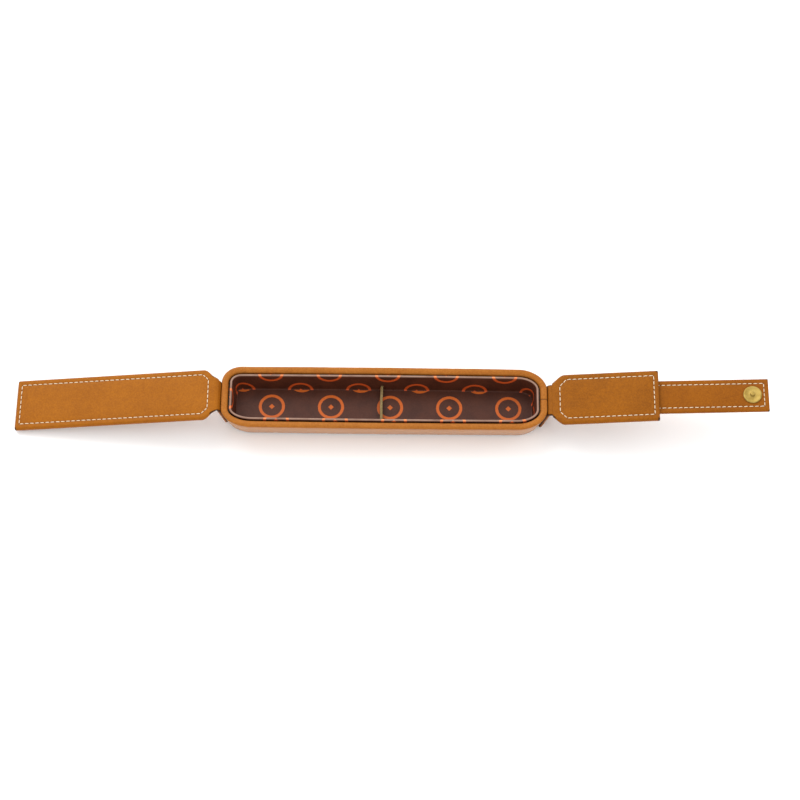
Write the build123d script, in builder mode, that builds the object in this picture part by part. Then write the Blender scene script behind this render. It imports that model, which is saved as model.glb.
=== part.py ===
from build123d import *
import math
import os

# A hard leather case for one fountain pen: a tapered tray with a leather rim and a printed
# lining, closed by two hinged flaps. A strap sewn to the short flap snaps onto the long one.
# The case stands on Z = 0, its length runs along X and the open side faces up.

os.makedirs("parts", exist_ok=True)

# Body, measured at the rim
rim_length = 175.6
rim_width = 35.6
rim_radius = 12.5
rim_height = 18.0
wall_inset = 4.3  # how far the base lies inside the rim, all round
wall_slope = wall_inset / rim_height

# Layers of the wall, measured level, from the outside in
wall_leather_thick = 1.0
wall_board_thick = 1.8
rim_turn_thick = 1.0
rim_turn_depth = 3.5
rim_round = 0.45
board_inside = wall_leather_thick + wall_board_thick
rim_total = board_inside + rim_turn_thick
turn_low = rim_height - rim_turn_depth
board_high = rim_height - wall_leather_thick

# Layers of the bottom, from the table up
base_leather_thick = 0.9
hem_thick = 1.0
hem_width = 7.0
base_board_thick = 1.5
tray_board_thick = 1.0
lining_thick = 0.6
board_base = base_leather_thick + hem_thick
tray_low = board_base + base_board_thick
lining_low = tray_low + tray_board_thick
floor_height = lining_low + lining_thick

# Tray insert, a drop-in liner with a rolled lip
tray_gap = 0.7
tray_wall_thick = 0.7
tray_slope = 0.126
lip_height = rim_height - 0.3
lip_thick = 0.6
hollow_inset = rim_total + tray_gap + tray_wall_thick + lining_thick

# Cross rib on the tray floor
divider_x = -1.6
divider_thick = 1.4
divider_high = 4.0

# Flaps
rim_clearance = 0.4  # closed flap above the rim
neck_half = 9.0
shoulder_round = 2.5
flap_half = 14.65
left_long = 111.1
right_long = 59.3
left_droop = 9.2
right_rise = 7.5
facing_thick = 0.9  # leather on the face that lies on the rim
flap_board_thick = 1.0
cover_thick = 0.9
flap_thick = facing_thick + flap_board_thick + cover_thick
turned_edge = 0.9
seam_inset = 2.5
thread_wide = 0.5
thread_proud = 0.2

# The short flap turns on one line just outside the rim
hinge_x = rim_length / 2 + 0.4

# The long flap turns more than half a turn, on a short neck with a line at each end
link_thick = 1.8
link_long = 2.1
link_rise = 60.0  # lean of the open neck above level; closed it leans as far the other way
link_x = rim_length / 2 + 1.3
link_reach = link_long * math.cos(math.radians(link_rise))
link_height = rim_height + link_long * math.sin(math.radians(link_rise))
link_gap = 0.2

# Strap
strap_half = 9.6
strap_long = 58.0
strap_layer = 1.0
strap_thick = 2 * strap_layer
anchor_long = 22.0
strap_x = right_long + 0.2
strap_tilt = 3.4  # lets the snap stand between strap and flap
end_strap_low = base_leather_thick
end_strap_high = rim_height - 4.1

# Magnetic snap, 10 mm
snap_radius = 5.0
plate_thick = 0.9
post_radius = 1.3
post_long = 1.0
socket_thick = 1.6
socket_bore = 1.55
cup_skin = 0.25
magnet_outer = 4.4
magnet_inner = 1.9
prong_wide = 2.0
prong_thick = 0.4
prong_offset = 2.6
washer_radius = 3.9
washer_thick = 0.4
snap_reach = 49.3  # along the strap, from its bend

# Heights in a flap's own plane, from its inner face down to the outer face
facing_low = -facing_thick
flap_board_low = facing_low - flap_board_thick
cover_low = flap_board_low - cover_thick
strap_low = cover_low - strap_thick


def tilted_plane(side, x, z, angle):
    # X runs away from the tray, `angle` degrees above level
    turn = math.radians(angle)
    return Plane(
        origin=(side * x, 0, z),
        x_dir=(side * math.cos(turn), 0, math.sin(turn)),
        z_dir=(-side * math.sin(turn), 0, math.cos(turn)),
    )


# The long flap's turning line is at mid thickness, and the short flap's is above its face.
left_hinge = tilted_plane(-1, link_x + link_reach, link_height, -left_droop)
left_plane = left_hinge.offset(flap_thick / 2)
right_plane = tilted_plane(1, hinge_x, rim_height, right_rise).offset(-rim_clearance)
level_plane = tilted_plane(1, hinge_x, rim_height, right_rise - strap_tilt)
strap_plane = Plane(
    origin=right_plane.from_local_coords((strap_x, 0, strap_low)),
    x_dir=level_plane.x_dir,
    z_dir=level_plane.z_dir,
)


def slanted_block(inset, low, high, slope=wall_slope, mode=Mode.ADD):
    # the rounded outline, `inset` inside the rim at the rim's height, narrowing downwards
    shrink = inset + slope * (rim_height - low)
    with BuildSketch(Plane.XY.offset(low)) as outline:
        RectangleRounded(rim_length - 2 * shrink, rim_width - 2 * shrink, rim_radius - shrink)
    extrude(outline.sketch, amount=high - low, taper=-math.degrees(math.atan(slope)), mode=mode)


def tray_block(outset, low, high, mode=Mode.ADD):
    # the tray's hollow, widened by `outset`
    slanted_block(hollow_inset - outset, low, high, slope=tray_slope, mode=mode)


def layer(plane, outline, low, high, mode=Mode.ADD):
    # a flat sheet of one outline between two heights of a plane
    with BuildSketch(plane.offset(low)) as profile:
        add(outline)
    extrude(profile.sketch, amount=high - low, mode=mode)


def disc(plane, centre_x, low, high, radius, mode=Mode.ADD):
    with BuildSketch(plane.offset(low)) as outline:
        with Locations((centre_x, 0)):
            Circle(radius)
    extrude(outline.sketch, amount=high - low, mode=mode)


def prongs(plane, centre_x, low, high, mode=Mode.ADD):
    # the two legs that hold one half of the snap
    with BuildSketch(plane.offset(low)) as outline:
        with Locations((centre_x - prong_offset, 0), (centre_x + prong_offset, 0)):
            Rectangle(prong_thick, prong_wide)
    extrude(outline.sketch, amount=high - low, mode=mode)


def strip_outline(start, end, half):
    with BuildSketch() as outline:
        with Locations(((start + end) / 2, 0)):
            Rectangle(end - start, 2 * half)
    return outline.sketch


def flap_outline(start, neck_end, neck_round, shoulder, length):
    # a panel that narrows to the hinge neck over two rounded shoulders
    points = [
        (start, -neck_half),
        (neck_end, -neck_half),
        (shoulder, -flap_half),
        (length, -flap_half),
        (length, flap_half),
        (shoulder, flap_half),
        (neck_end, neck_half),
        (start, neck_half),
    ]
    with BuildSketch() as outline:
        with BuildLine():
            Polyline(*points, close=True)
        make_face()
        corners = outline.vertices().group_by(Axis.X)
        fillet(corners[1], neck_round)
        corners = outline.vertices().group_by(Axis.X)
        fillet(corners[-2], shoulder_round)
    return outline.sketch


def seam_outline(outline, inset, start, end):
    # the outline drawn in by `inset` and cut off square at `start`
    with BuildSketch() as area:
        offset(outline, amount=-inset)
        add(strip_outline(start, end, flap_half), mode=Mode.INTERSECT)
    return area.sketch


def write(piece, label):
    piece.label = label
    export_step(piece, "parts/" + label + ".step")


# --- body -------------------------------------------------------------------------------

with BuildPart() as base_leather:
    slanted_block(0.2, 0, base_leather_thick)
write(base_leather.part, "base_leather")

# wraps the board from a hem under the base, over the rim and a little way down inside
with BuildPart() as wall_leather:
    slanted_block(0, base_leather_thick, rim_height)
    slanted_block(wall_leather_thick, board_base, board_high, mode=Mode.SUBTRACT)
    slanted_block(board_inside, turn_low, board_high)
    slanted_block(rim_total, turn_low, rim_height + 1, mode=Mode.SUBTRACT)
    slanted_block(hem_width, 0, board_base, mode=Mode.SUBTRACT)
    fillet(wall_leather.edges().group_by(Axis.Z)[-1], rim_round)
write(wall_leather.part, "wall_leather")

with BuildPart() as wall_board:
    slanted_block(wall_leather_thick, board_base, board_high)
    slanted_block(board_inside, 0, board_high + 1, mode=Mode.SUBTRACT)
write(wall_board.part, "wall_board")

with BuildPart() as base_board:
    slanted_block(board_inside, board_base, tray_low)
write(base_board.part, "base_board")

with BuildPart() as tray_floor_board:
    tray_block(lining_thick, tray_low, lining_low)
write(tray_floor_board.part, "tray_floor_board")

with BuildPart() as tray_wall_board:
    tray_block(lining_thick + tray_wall_thick, tray_low, lip_height - lip_thick)
    tray_block(lining_thick, 0, lip_height, mode=Mode.SUBTRACT)
write(tray_wall_board.part, "tray_wall_board")

with BuildPart() as wall_lining:
    tray_block(lining_thick, lining_low, lip_height)
    tray_block(lining_thick + tray_wall_thick, lip_height - lip_thick, lip_height)
    tray_block(0, 0, rim_height, mode=Mode.SUBTRACT)
write(wall_lining.part, "wall_lining")

with BuildPart() as floor_lining:
    tray_block(0, lining_low, floor_height)
write(floor_lining.part, "floor_lining")

with BuildPart() as divider:
    divider_end = divider_x + divider_thick / 2
    divider_strip = strip_outline(divider_end - divider_thick, divider_end, rim_width / 2)
    layer(Plane.XY, divider_strip, floor_height, floor_height + divider_high)
    tray_block(0, floor_height, rim_height, mode=Mode.INTERSECT)
write(divider.part, "divider")

# the glued stretch of strap leather on each end wall, just below the hinge
for side, label in ((-1, "left_end_strap"), (1, "right_end_strap")):
    low_x = rim_length / 2 - wall_slope * (rim_height - end_strap_low)
    high_x = rim_length / 2 - wall_slope * (rim_height - end_strap_high)
    outline = [
        (side * low_x, end_strap_low),
        (side * (low_x + strap_thick), end_strap_low),
        (side * (high_x + strap_thick), end_strap_high),
        (side * high_x, end_strap_high),
    ]
    with BuildPart() as end_strap:
        with BuildSketch(Plane.XZ):
            with BuildLine():
                Polyline(*outline, close=True)
            make_face()
        extrude(amount=neck_half, both=True)
    write(end_strap.part, label)

# --- snap position ------------------------------------------------------------------------
# The stud comes down on the long flap's outer face, where the socket sits.

tilt = math.radians(strap_tilt)
stud_reach = strap_x + snap_reach * math.cos(tilt) + (strap_thick + plate_thick) * math.sin(tilt)
closed_hinge_x = link_x - link_reach
socket_x = closed_hinge_x + hinge_x - stud_reach
socket_low = cover_low - socket_thick
socket_washer_high = flap_board_low + washer_thick
magnet_low = socket_low + cup_skin
magnet_high = cover_low - cup_skin

# --- flaps ------------------------------------------------------------------------------
# Facing and cover leather enclose a board in the panel and a cloth tape in the hinge.

left_start = link_thick / 2 + link_gap
left_panel = flap_outline(left_start, left_start + 0.3, 0.6, 6.4, left_long)
right_panel = flap_outline(0, 2.6, 2.5, 8.4, right_long)
half_thread = thread_wide / 2
flaps = (
    # name, plane, outline, length, start of tape, board and seam
    ("left", left_plane, left_panel, left_long, left_start + 0.6, 7.8, 4.4),
    ("right", right_plane, right_panel, right_long, 1.0, 10.0, 6.4),
)

for flap, plane, panel, length, tape_start, board_start, seam_start in flaps:
    board_half = flap_half - turned_edge
    board_outline = strip_outline(board_start, length - turned_edge, board_half)
    tape_outline = strip_outline(tape_start, board_start, neck_half - turned_edge)

    with BuildPart() as facing:
        layer(plane, panel, facing_low, 0)
    write(facing.part, flap + "_flap_facing")

    with BuildPart() as flap_board:
        layer(plane, board_outline, flap_board_low, facing_low)
        if flap == "left":
            disc(plane, socket_x, flap_board_low, socket_washer_high, washer_radius, Mode.SUBTRACT)
    write(flap_board.part, flap + "_flap_board")

    with BuildPart() as hinge_tape:
        layer(plane, tape_outline, flap_board_low, facing_low)
    write(hinge_tape.part, flap + "_hinge_tape")

    with BuildPart() as cover:
        layer(plane, panel, cover_low, facing_low)
        layer(plane, board_outline, flap_board_low, facing_low, Mode.SUBTRACT)
        layer(plane, tape_outline, flap_board_low, facing_low, Mode.SUBTRACT)
        if flap == "left":
            prongs(plane, socket_x, cover_low, flap_board_low, Mode.SUBTRACT)
    write(cover.part, flap + "_flap_cover")

    # the line of stitches round the facing, as one bead of thread
    seam_outer = seam_outline(panel, seam_inset - half_thread, seam_start - half_thread, length)
    seam_inner = seam_outline(panel, seam_inset + half_thread, seam_start + half_thread, length)
    with BuildPart() as flap_thread:
        layer(plane, seam_outer, 0, thread_proud)
        layer(plane, seam_inner, 0, thread_proud, Mode.SUBTRACT)
    write(flap_thread.part, flap + "_flap_thread")

# the long flap's neck, a rounded bar of folded leather between its two turning lines
with BuildPart() as left_neck:
    with BuildSketch(Plane.XZ):
        with Locations((-link_x - link_reach / 2, (rim_height + link_height) / 2)):
            SlotCenterToCenter(link_long, link_thick, rotation=180 - link_rise)
    extrude(amount=neck_half, both=True)
write(left_neck.part, "left_neck")

# --- snap socket, on the long flap ------------------------------------------------------

with BuildPart() as snap_socket_magnet:
    disc(left_plane, socket_x, magnet_low, magnet_high, magnet_outer)
    disc(left_plane, socket_x, magnet_low, magnet_high, magnet_inner, Mode.SUBTRACT)
write(snap_socket_magnet.part, "snap_socket_magnet")

with BuildPart() as snap_socket_cup:
    disc(left_plane, socket_x, socket_low, cover_low, snap_radius)
    disc(left_plane, socket_x, magnet_low, magnet_high, magnet_outer, Mode.SUBTRACT)
    disc(left_plane, socket_x, socket_low, magnet_high, magnet_inner)
    disc(left_plane, socket_x, socket_low, magnet_high, socket_bore, Mode.SUBTRACT)
    prongs(left_plane, socket_x, cover_low, socket_washer_high)
write(snap_socket_cup.part, "snap_socket_cup")

with BuildPart() as snap_socket_washer:
    disc(left_plane, socket_x, flap_board_low, socket_washer_high, washer_radius)
    prongs(left_plane, socket_x, flap_board_low, socket_washer_high, Mode.SUBTRACT)
write(snap_socket_washer.part, "snap_socket_washer")

# --- strap ------------------------------------------------------------------------------
# The anchor is sewn to the short flap's outer face. The free strap bends at the flap's end,
# about a line on its outer face.

with BuildPart() as strap_anchor:
    anchor_panel = strip_outline(right_long - anchor_long, right_long, strap_half)
    layer(right_plane, anchor_panel, strap_low, cover_low)
write(strap_anchor.part, "strap_anchor")

strap_panel = strip_outline(0, strap_long, strap_half)
stud_washer_low = strap_layer - washer_thick

with BuildPart() as strap_cover:
    layer(strap_plane, strap_panel, 0, strap_layer)
    disc(strap_plane, snap_reach, stud_washer_low, strap_layer, washer_radius, Mode.SUBTRACT)
write(strap_cover.part, "strap_cover")

with BuildPart() as strap_facing:
    layer(strap_plane, strap_panel, strap_layer, strap_thick)
    prongs(strap_plane, snap_reach, strap_layer, strap_thick, Mode.SUBTRACT)
write(strap_facing.part, "strap_facing")

with BuildPart() as strap_thread:
    seam_line = strap_half - seam_inset
    seam_far = strap_long - seam_inset
    thread_outer = strip_outline(0, seam_far + half_thread, seam_line + half_thread)
    thread_inner = strip_outline(0, seam_far - half_thread, seam_line - half_thread)
    thread_top = strap_thick + thread_proud
    layer(strap_plane, thread_outer, strap_thick, thread_top)
    layer(strap_plane, thread_inner, strap_thick, thread_top, Mode.SUBTRACT)
write(strap_thread.part, "strap_thread")

# --- snap stud, on the strap ------------------------------------------------------------

plate_high = strap_thick + plate_thick

with BuildPart() as snap_stud_plate:
    disc(strap_plane, snap_reach, strap_thick, plate_high, snap_radius)
    disc(strap_plane, snap_reach, strap_thick, plate_high, post_radius, Mode.SUBTRACT)
    prongs(strap_plane, snap_reach, stud_washer_low, strap_thick)
write(snap_stud_plate.part, "snap_stud_plate")

with BuildPart() as snap_stud_post:
    disc(strap_plane, snap_reach, strap_thick, plate_high + post_long, post_radius)
write(snap_stud_post.part, "snap_stud_post")

with BuildPart() as snap_stud_washer:
    disc(strap_plane, snap_reach, stud_washer_low, strap_layer, washer_radius)
    prongs(strap_plane, snap_reach, stud_washer_low, strap_layer, Mode.SUBTRACT)
write(snap_stud_washer.part, "snap_stud_washer")
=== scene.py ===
import bpy
import bmesh
import math
import random
from mathutils import Matrix, Vector


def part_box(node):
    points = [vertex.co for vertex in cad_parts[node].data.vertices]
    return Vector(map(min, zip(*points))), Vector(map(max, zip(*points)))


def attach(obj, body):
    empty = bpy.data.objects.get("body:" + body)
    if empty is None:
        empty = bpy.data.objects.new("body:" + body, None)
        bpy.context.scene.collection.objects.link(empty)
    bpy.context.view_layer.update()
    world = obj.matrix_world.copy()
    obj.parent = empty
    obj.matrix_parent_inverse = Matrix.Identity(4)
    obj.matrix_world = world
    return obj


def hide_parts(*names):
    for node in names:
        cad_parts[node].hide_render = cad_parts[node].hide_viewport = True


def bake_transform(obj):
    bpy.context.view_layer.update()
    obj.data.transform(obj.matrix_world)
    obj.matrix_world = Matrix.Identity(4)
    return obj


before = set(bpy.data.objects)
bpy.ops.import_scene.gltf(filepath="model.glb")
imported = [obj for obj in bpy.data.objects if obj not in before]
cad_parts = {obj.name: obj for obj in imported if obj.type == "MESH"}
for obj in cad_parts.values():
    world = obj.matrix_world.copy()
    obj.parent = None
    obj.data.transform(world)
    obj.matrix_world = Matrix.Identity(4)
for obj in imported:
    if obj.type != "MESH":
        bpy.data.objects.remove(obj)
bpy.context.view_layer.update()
mm = 0.001
dice = random.Random(7)
print("frame loaded")


# a value in a node tree; arithmetic on it adds Math nodes
class Sock:
    def __init__(self, shader, out):
        self.shader = shader
        self.out = out

    def calc(self, operation, *values):
        return self.shader.node("ShaderNodeMath", {"operation": operation}, dict(enumerate(values)))

    def __add__(self, other):
        return self.calc("ADD", self, other)

    def __radd__(self, other):
        return self.calc("ADD", other, self)

    def __sub__(self, other):
        return self.calc("SUBTRACT", self, other)

    def __rsub__(self, other):
        return self.calc("SUBTRACT", other, self)

    def __mul__(self, other):
        return self.calc("MULTIPLY", self, other)

    def __rmul__(self, other):
        return self.calc("MULTIPLY", other, self)

    def __truediv__(self, other):
        return self.calc("DIVIDE", self, other)

    def __rtruediv__(self, other):
        return self.calc("DIVIDE", other, self)

    def __pow__(self, other):
        return self.calc("POWER", self, other)

    def __rpow__(self, other):
        return self.calc("POWER", other, self)

    def __abs__(self):
        return self.calc("ABSOLUTE", self)

    def atMost(self, other):
        return self.calc("MINIMUM", self, other)

    def atLeast(self, other):
        return self.calc("MAXIMUM", self, other)

    def toNearest(self):
        return self.calc("ROUND", self)

    def sine(self):
        return self.calc("SINE", self)

    def ramp(self, low, high, outLow=0.0, outHigh=1.0):
        # eased from outLow at low to outHigh at high
        return self.shader.node("ShaderNodeMapRange", {"interpolation_type": "SMOOTHSTEP"}, {
            "Value": self, "From Min": low, "From Max": high, "To Min": outLow, "To Max": outHigh})


# a material and its node tree
class Shader:
    def __init__(self, name):
        self.material = bpy.data.materials.new(name)
        self.material.use_nodes = True
        self.tree = self.material.node_tree
        self.surface = self.tree.nodes["Principled BSDF"]

    def put(self, socket, value):
        if isinstance(value, Sock):
            self.tree.links.new(value.out, socket)
        else:
            socket.default_value = value

    def node(self, kind, settings, values, out=0):
        made = self.tree.nodes.new(kind)
        for key, value in settings.items():
            setattr(made, key, value)
        for key, value in values.items():
            self.put(made.inputs[key], value)
        return Sock(self, made.outputs[out])

    def mix(self, factor, first, second):
        # of two colours
        return self.node("ShaderNodeMix", {"data_type": "RGBA"}, {0: factor, 6: first, 7: second}, 2)

    def vector(self, operation, *values):
        return self.node("ShaderNodeVectorMath", {"operation": operation}, dict(enumerate(values)))

    def split(self, vector):
        made = self.node("ShaderNodeSeparateXYZ", {}, {0: vector}).out.node
        return [Sock(self, out) for out in made.outputs]

    def rest(self):
        # where the point lay when its piece was made, in millimetres
        return self.node("ShaderNodeAttribute", {"attribute_name": "rest"}, {}, 1)

    def edge(self):
        # how much edge paint the point has, with painted shade in the creases and a painted highlight on the
        # lining's lip
        return self.node("ShaderNodeAttribute", {"attribute_name": "edge"}, {}, 2)

    def noise(self, place, scale, detail=2.0, rough=0.5):
        return self.node("ShaderNodeTexNoise", {}, {
            "Vector": place, "Scale": scale, "Detail": detail, "Roughness": rough})

    def cells(self, place, scale):
        return self.node("ShaderNodeTexVoronoi", {}, {"Vector": place, "Scale": scale})

    def bump(self, height, strength, distance):
        return self.node("ShaderNodeBump", {}, {"Height": height, "Strength": strength, "Distance": distance})

    def finish(self, **sockets):
        names = {"color": "Base Color", "rough": "Roughness", "metal": "Metallic",
                 "coat": "Coat Weight", "coatRough": "Coat Roughness", "normal": "Normal",
                 "specular": "Specular IOR Level", "specularTint": "Specular Tint"}
        for key, value in sockets.items():
            self.put(self.surface.inputs[names[key]], value)
        return self.material


def srgb(red, green, blue):
    # 0 to 255 screen values as a linear colour
    def linear(value):
        value = value / 255
        return value / 12.92 if value <= 0.04045 else ((value + 0.055) / 1.055) ** 2.4
    return (linear(red), linear(green), linear(blue), 1.0)


# mesh helpers, all in millimetres
def addPiece(name, points, faces, edge=None, uv=None, outward=True):
    # edge: 0 to 1 at each point, for edge paint, painted shade and painted highlight; uv: a pair for each face
    # corner
    mesh = bpy.data.meshes.new(name)
    mesh.from_pydata([(x * mm, y * mm, z * mm) for x, y, z in points], [], faces)
    rest = mesh.attributes.new("rest", "FLOAT_VECTOR", "POINT")
    rest.data.foreach_set("vector", [v for point in points for v in point])
    paint = mesh.attributes.new("edge", "FLOAT", "POINT")
    paint.data.foreach_set("value", edge or [0.0] * len(points))
    if uv:
        layer = mesh.uv_layers.new(name="print")
        for polygon, corners in zip(mesh.polygons, uv):
            for loop, pair in zip(polygon.loop_indices, corners):
                layer.data[loop].uv = pair
    mesh.validate()
    if outward:
        work = bmesh.new()
        work.from_mesh(mesh)
        bmesh.ops.recalc_face_normals(work, faces=work.faces)
        work.to_mesh(mesh)
        work.free()
    mesh.shade_smooth()
    piece = bpy.data.objects.new(name, mesh)
    bpy.context.collection.objects.link(piece)
    return piece


def finishPiece(piece, material, body=None, nodes=()):
    if not piece.data.materials:
        piece.data.materials.append(material)
    if nodes:
        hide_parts(*nodes)
    if body:
        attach(piece, body)


def gridFaces(rows, columns, closed=True):
    faces = []
    for row in range(rows - 1):
        for column in range(columns if closed else columns - 1):
            after = (column + 1) % columns
            faces.append((row * columns + column, row * columns + after,
                          (row + 1) * columns + after, (row + 1) * columns + column))
    return faces


def smoothCurve(points, steps):
    # a curve through every point
    curve = []
    for i in range(len(points) - 1):
        a = points[max(i - 1, 0)]
        b = points[i]
        c = points[i + 1]
        d = points[min(i + 2, len(points) - 1)]
        for step in range(steps):
            t = step / steps
            curve.append(tuple(0.5 * (2 * b[k] + (c[k] - a[k]) * t
                               + (2 * a[k] - 5 * b[k] + 4 * c[k] - d[k]) * t * t
                               + (3 * b[k] - a[k] - 3 * c[k] + d[k]) * t ** 3) for k in range(2)))
    curve.append(tuple(points[-1]))
    return curve


def ease(value, low, high):
    t = min(max((value - low) / (high - low), 0.0), 1.0)
    return t * t * (3 - 2 * t)


def turnedPiece(name, profile, centre, axis, segments=64):
    # a profile of (radius, height) pairs turned about an axis
    aim = Vector((0, 0, 1)).rotation_difference(Vector(axis)).to_matrix()
    points = []
    for radius, height in profile:
        for step in range(segments):
            angle = math.tau * step / segments
            local = aim @ Vector((radius * math.cos(angle), radius * math.sin(angle), height))
            points.append(tuple(Vector(centre) + local))
    faces = gridFaces(len(profile), segments)
    faces.append(tuple(range(segments)))
    faces.append(tuple(reversed(range(len(points) - segments, len(points)))))
    return addPiece(name, points, faces)


tanPaint = {
    # raised and sunken grain of each piece
    "longFlap": (srgb(157, 92, 15), srgb(133, 73, 9)),
    "shortFlap": (srgb(147, 84, 8), srgb(119, 64, 4)),
    "strap": (srgb(145, 82, 9), srgb(121, 64, 5)),
    # the rim's tan, with its blue raised above the flaps' tan as a painted sheen
    "rim": (srgb(168, 104, 40), srgb(140, 80, 26)),
    "base": (srgb(133, 73, 9), srgb(124, 66, 10)),
    "wall": srgb(170, 109, 34),  # below the rim
    "wallHeights": (13.0, 16.6),  # where the rim's colour fades into it
    "glaze": 0.7,  # of the finish on the wall
    "glazeRough": 0.25,
    # dark edge paint, also the colour of the painted shade in the creases and against the end walls
    "edge": srgb(58, 30, 16),
    "gloss": 0.24,
    "glossTint": (1.0, 0.7, 0.35, 1.0),
    "grainSize": 0.75,  # pebble width
    "grainHeight": 0.00007,
}


def tanLeather(name, colours, grain=1.0, crease=0.3, roughness=0.47, wall=None):
    # wall: the colour below the rim, where the leather also has a glazed finish
    light, deep = colours
    shader = Shader(name)
    rest = shader.rest()
    edge = shader.edge()
    wobble = shader.noise(rest, 0.9, 2.0)
    bent = shader.vector("ADD", rest, shader.vector("MULTIPLY", wobble, (0.35, 0.35, 0.35)))
    pebble = shader.cells(bent, 1 / tanPaint["grainSize"])
    small = shader.cells(bent, 2.3 / tanPaint["grainSize"])
    fine = shader.noise(rest, 5.0, 3.0, 0.6)
    broad = shader.noise(rest, 0.045, 3.0, 0.55)
    middle = shader.noise(rest, 0.28, 3.0, 0.6)
    lines = abs(shader.noise(rest, 0.16, 4.0, 0.62) - 0.5).ramp(0.0, 0.035, 1.0, 0.0)
    mottle = shader.noise(rest, 0.95, 3.0, 0.65)
    shade = broad.ramp(0.25, 0.75) * 0.3 + middle.ramp(0.3, 0.7) * 0.2 + pebble.ramp(0.1, 0.75) * 0.35
    shade = shade + mottle.ramp(0.35, 0.65) * 0.35
    tone = shader.mix(shade.atMost(1.0), light, deep)
    speck = shader.noise(rest, 2.6, 2.0, 0.7).ramp(0.62, 0.8, 0.0, 0.28)
    tone = shader.mix(speck, tone, deep)
    glaze = 0.0
    if wall:
        down = (shader.split(rest)[2] + (middle - 0.5) * 1.5).ramp(*tanPaint["wallHeights"], 1.0, 0.0)
        tone = shader.mix(down * 0.8, tone, shader.mix(shade.atMost(1.0) * 0.3, wall, tone))
        glaze = down * tanPaint["glaze"]
    # edge paint and painted shade, as dark colour
    painted = (edge + (fine - 0.5) * 0.5).ramp(0.35, 0.6)
    color = shader.mix(painted, tone, tanPaint["edge"])
    height = (1.0 - pebble) * 0.7 * grain + (1.0 - small) * 0.25 * grain + fine * 0.25
    height = height - lines * crease + middle * 0.5
    height = height * (1.0 - painted * 0.75)
    normal = shader.bump(height, 0.8, tanPaint["grainHeight"])
    rough = fine.ramp(0.3, 0.7, roughness - 0.05, roughness + 0.08) - painted * 0.08
    return shader.finish(color=color, rough=rough, normal=normal, coat=glaze, coatRough=tanPaint["glazeRough"],
                         specular=tanPaint["gloss"], specularTint=tanPaint["glossTint"])


longFlapTan = tanLeather("longFlapTan", tanPaint["longFlap"])
shortFlapTan = tanLeather("shortFlapTan", tanPaint["shortFlap"])
strapTan = tanLeather("strapTan", tanPaint["strap"], grain=0.9, crease=0.2)
rimTan = tanLeather("rimTan", tanPaint["rim"], grain=0.45, crease=0.45, roughness=0.4, wall=tanPaint["wall"])
baseTan = tanLeather("baseTan", tanPaint["base"], grain=1.2, crease=0.4)

liningPrint = {
    "ground": srgb(82, 42, 26),
    "groundDeep": srgb(58, 27, 16),
    # painted highlight along the rolled lip's crest
    "lipHighlight": srgb(146, 116, 100),  # along the rolled lip
    "floorRing": srgb(199, 94, 27),
    # the wall's rings are darker and redder than the floor's: painted shade
    "shadedWallRing": srgb(192, 76, 27),
    # the rings within the painted highlight on the lip
    "ringHighlight": srgb(240, 166, 106),
    "pitch": (32.1, 31.5),  # along and across, between rings of one set
    "first": 3.2,  # a ring's centre, from the tray's middle
    "radius": 6.3,
    "line": 0.78,  # half the ring's line
    "centre": 1.5,  # reach of the small diamond
    "thread": 0.62,  # pitch of the weave
}


def ringLining(name, ringColour):
    shader = Shader(name)
    place = shader.node("ShaderNodeUVMap", {"uv_map": "print"}, {})
    edge = shader.edge()
    along, across = shader.split(place)[:2]
    along = along - liningPrint["first"]
    longPitch, widePitch = liningPrint["pitch"]
    weave = shader.noise(place, 1.3, 2.0)
    marks = None
    for shift in (0.0, 0.5):
        u = along / longPitch + shift
        v = across / widePitch + shift
        dx = (u - u.toNearest()) * longPitch
        dy = (v - v.toNearest()) * widePitch
        far = (dx * dx + dy * dy) ** 0.5
        ring = (abs(far - liningPrint["radius"]) + (weave - 0.5) * 0.3).ramp(
            liningPrint["line"] - 0.14, liningPrint["line"] + 0.14, 1.0, 0.0)
        diamond = (abs(dx) + abs(dy)).ramp(liningPrint["centre"] - 0.15, liningPrint["centre"] + 0.2, 1.0, 0.0)
        both = ring.atLeast(diamond)
        marks = both if marks is None else marks.atLeast(both)
    turns = math.tau / liningPrint["thread"]
    cloth = (along * turns).sine() * (across * turns).sine()
    stain = shader.noise(place, 0.09, 3.0, 0.6)
    # painted highlight along the lip's crest, in patches
    lipHighlight = edge * stain.ramp(0.25, 0.6, 0.55, 1.0)
    shade = stain.ramp(0.35, 0.7, 0.15, 0.6) + cloth.ramp(-1.0, 1.0, 0.2, 0.0) + weave.ramp(0.35, 0.65) * 0.15
    ground = shader.mix(shade.atMost(1.0), liningPrint["ground"], liningPrint["groundDeep"])
    ground = shader.mix(lipHighlight, ground, liningPrint["lipHighlight"])
    # the rings' colour; on the wall it carries painted shade
    ringTone = shader.mix(cloth.ramp(-1.0, 1.0, 0.16, 0.0), ringColour, liningPrint["ground"])
    ringTone = shader.mix(lipHighlight * 0.6, ringTone, liningPrint["ringHighlight"])
    color = shader.mix(marks * 0.97, ground, ringTone)
    normal = shader.bump(cloth * 0.5 + weave * 0.6 + marks * 0.25, 0.7, 0.00004)
    rough = weave.ramp(0.3, 0.7, 0.42, 0.54)
    return shader.finish(color=color, rough=rough, normal=normal, specular=0.22)


floorCloth = ringLining("floorLiningCloth", liningPrint["floorRing"])
# the floor's cloth with its rings darkened as painted shade
shadedWallCloth = ringLining("shadedWallLiningCloth", liningPrint["shadedWallRing"])


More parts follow.
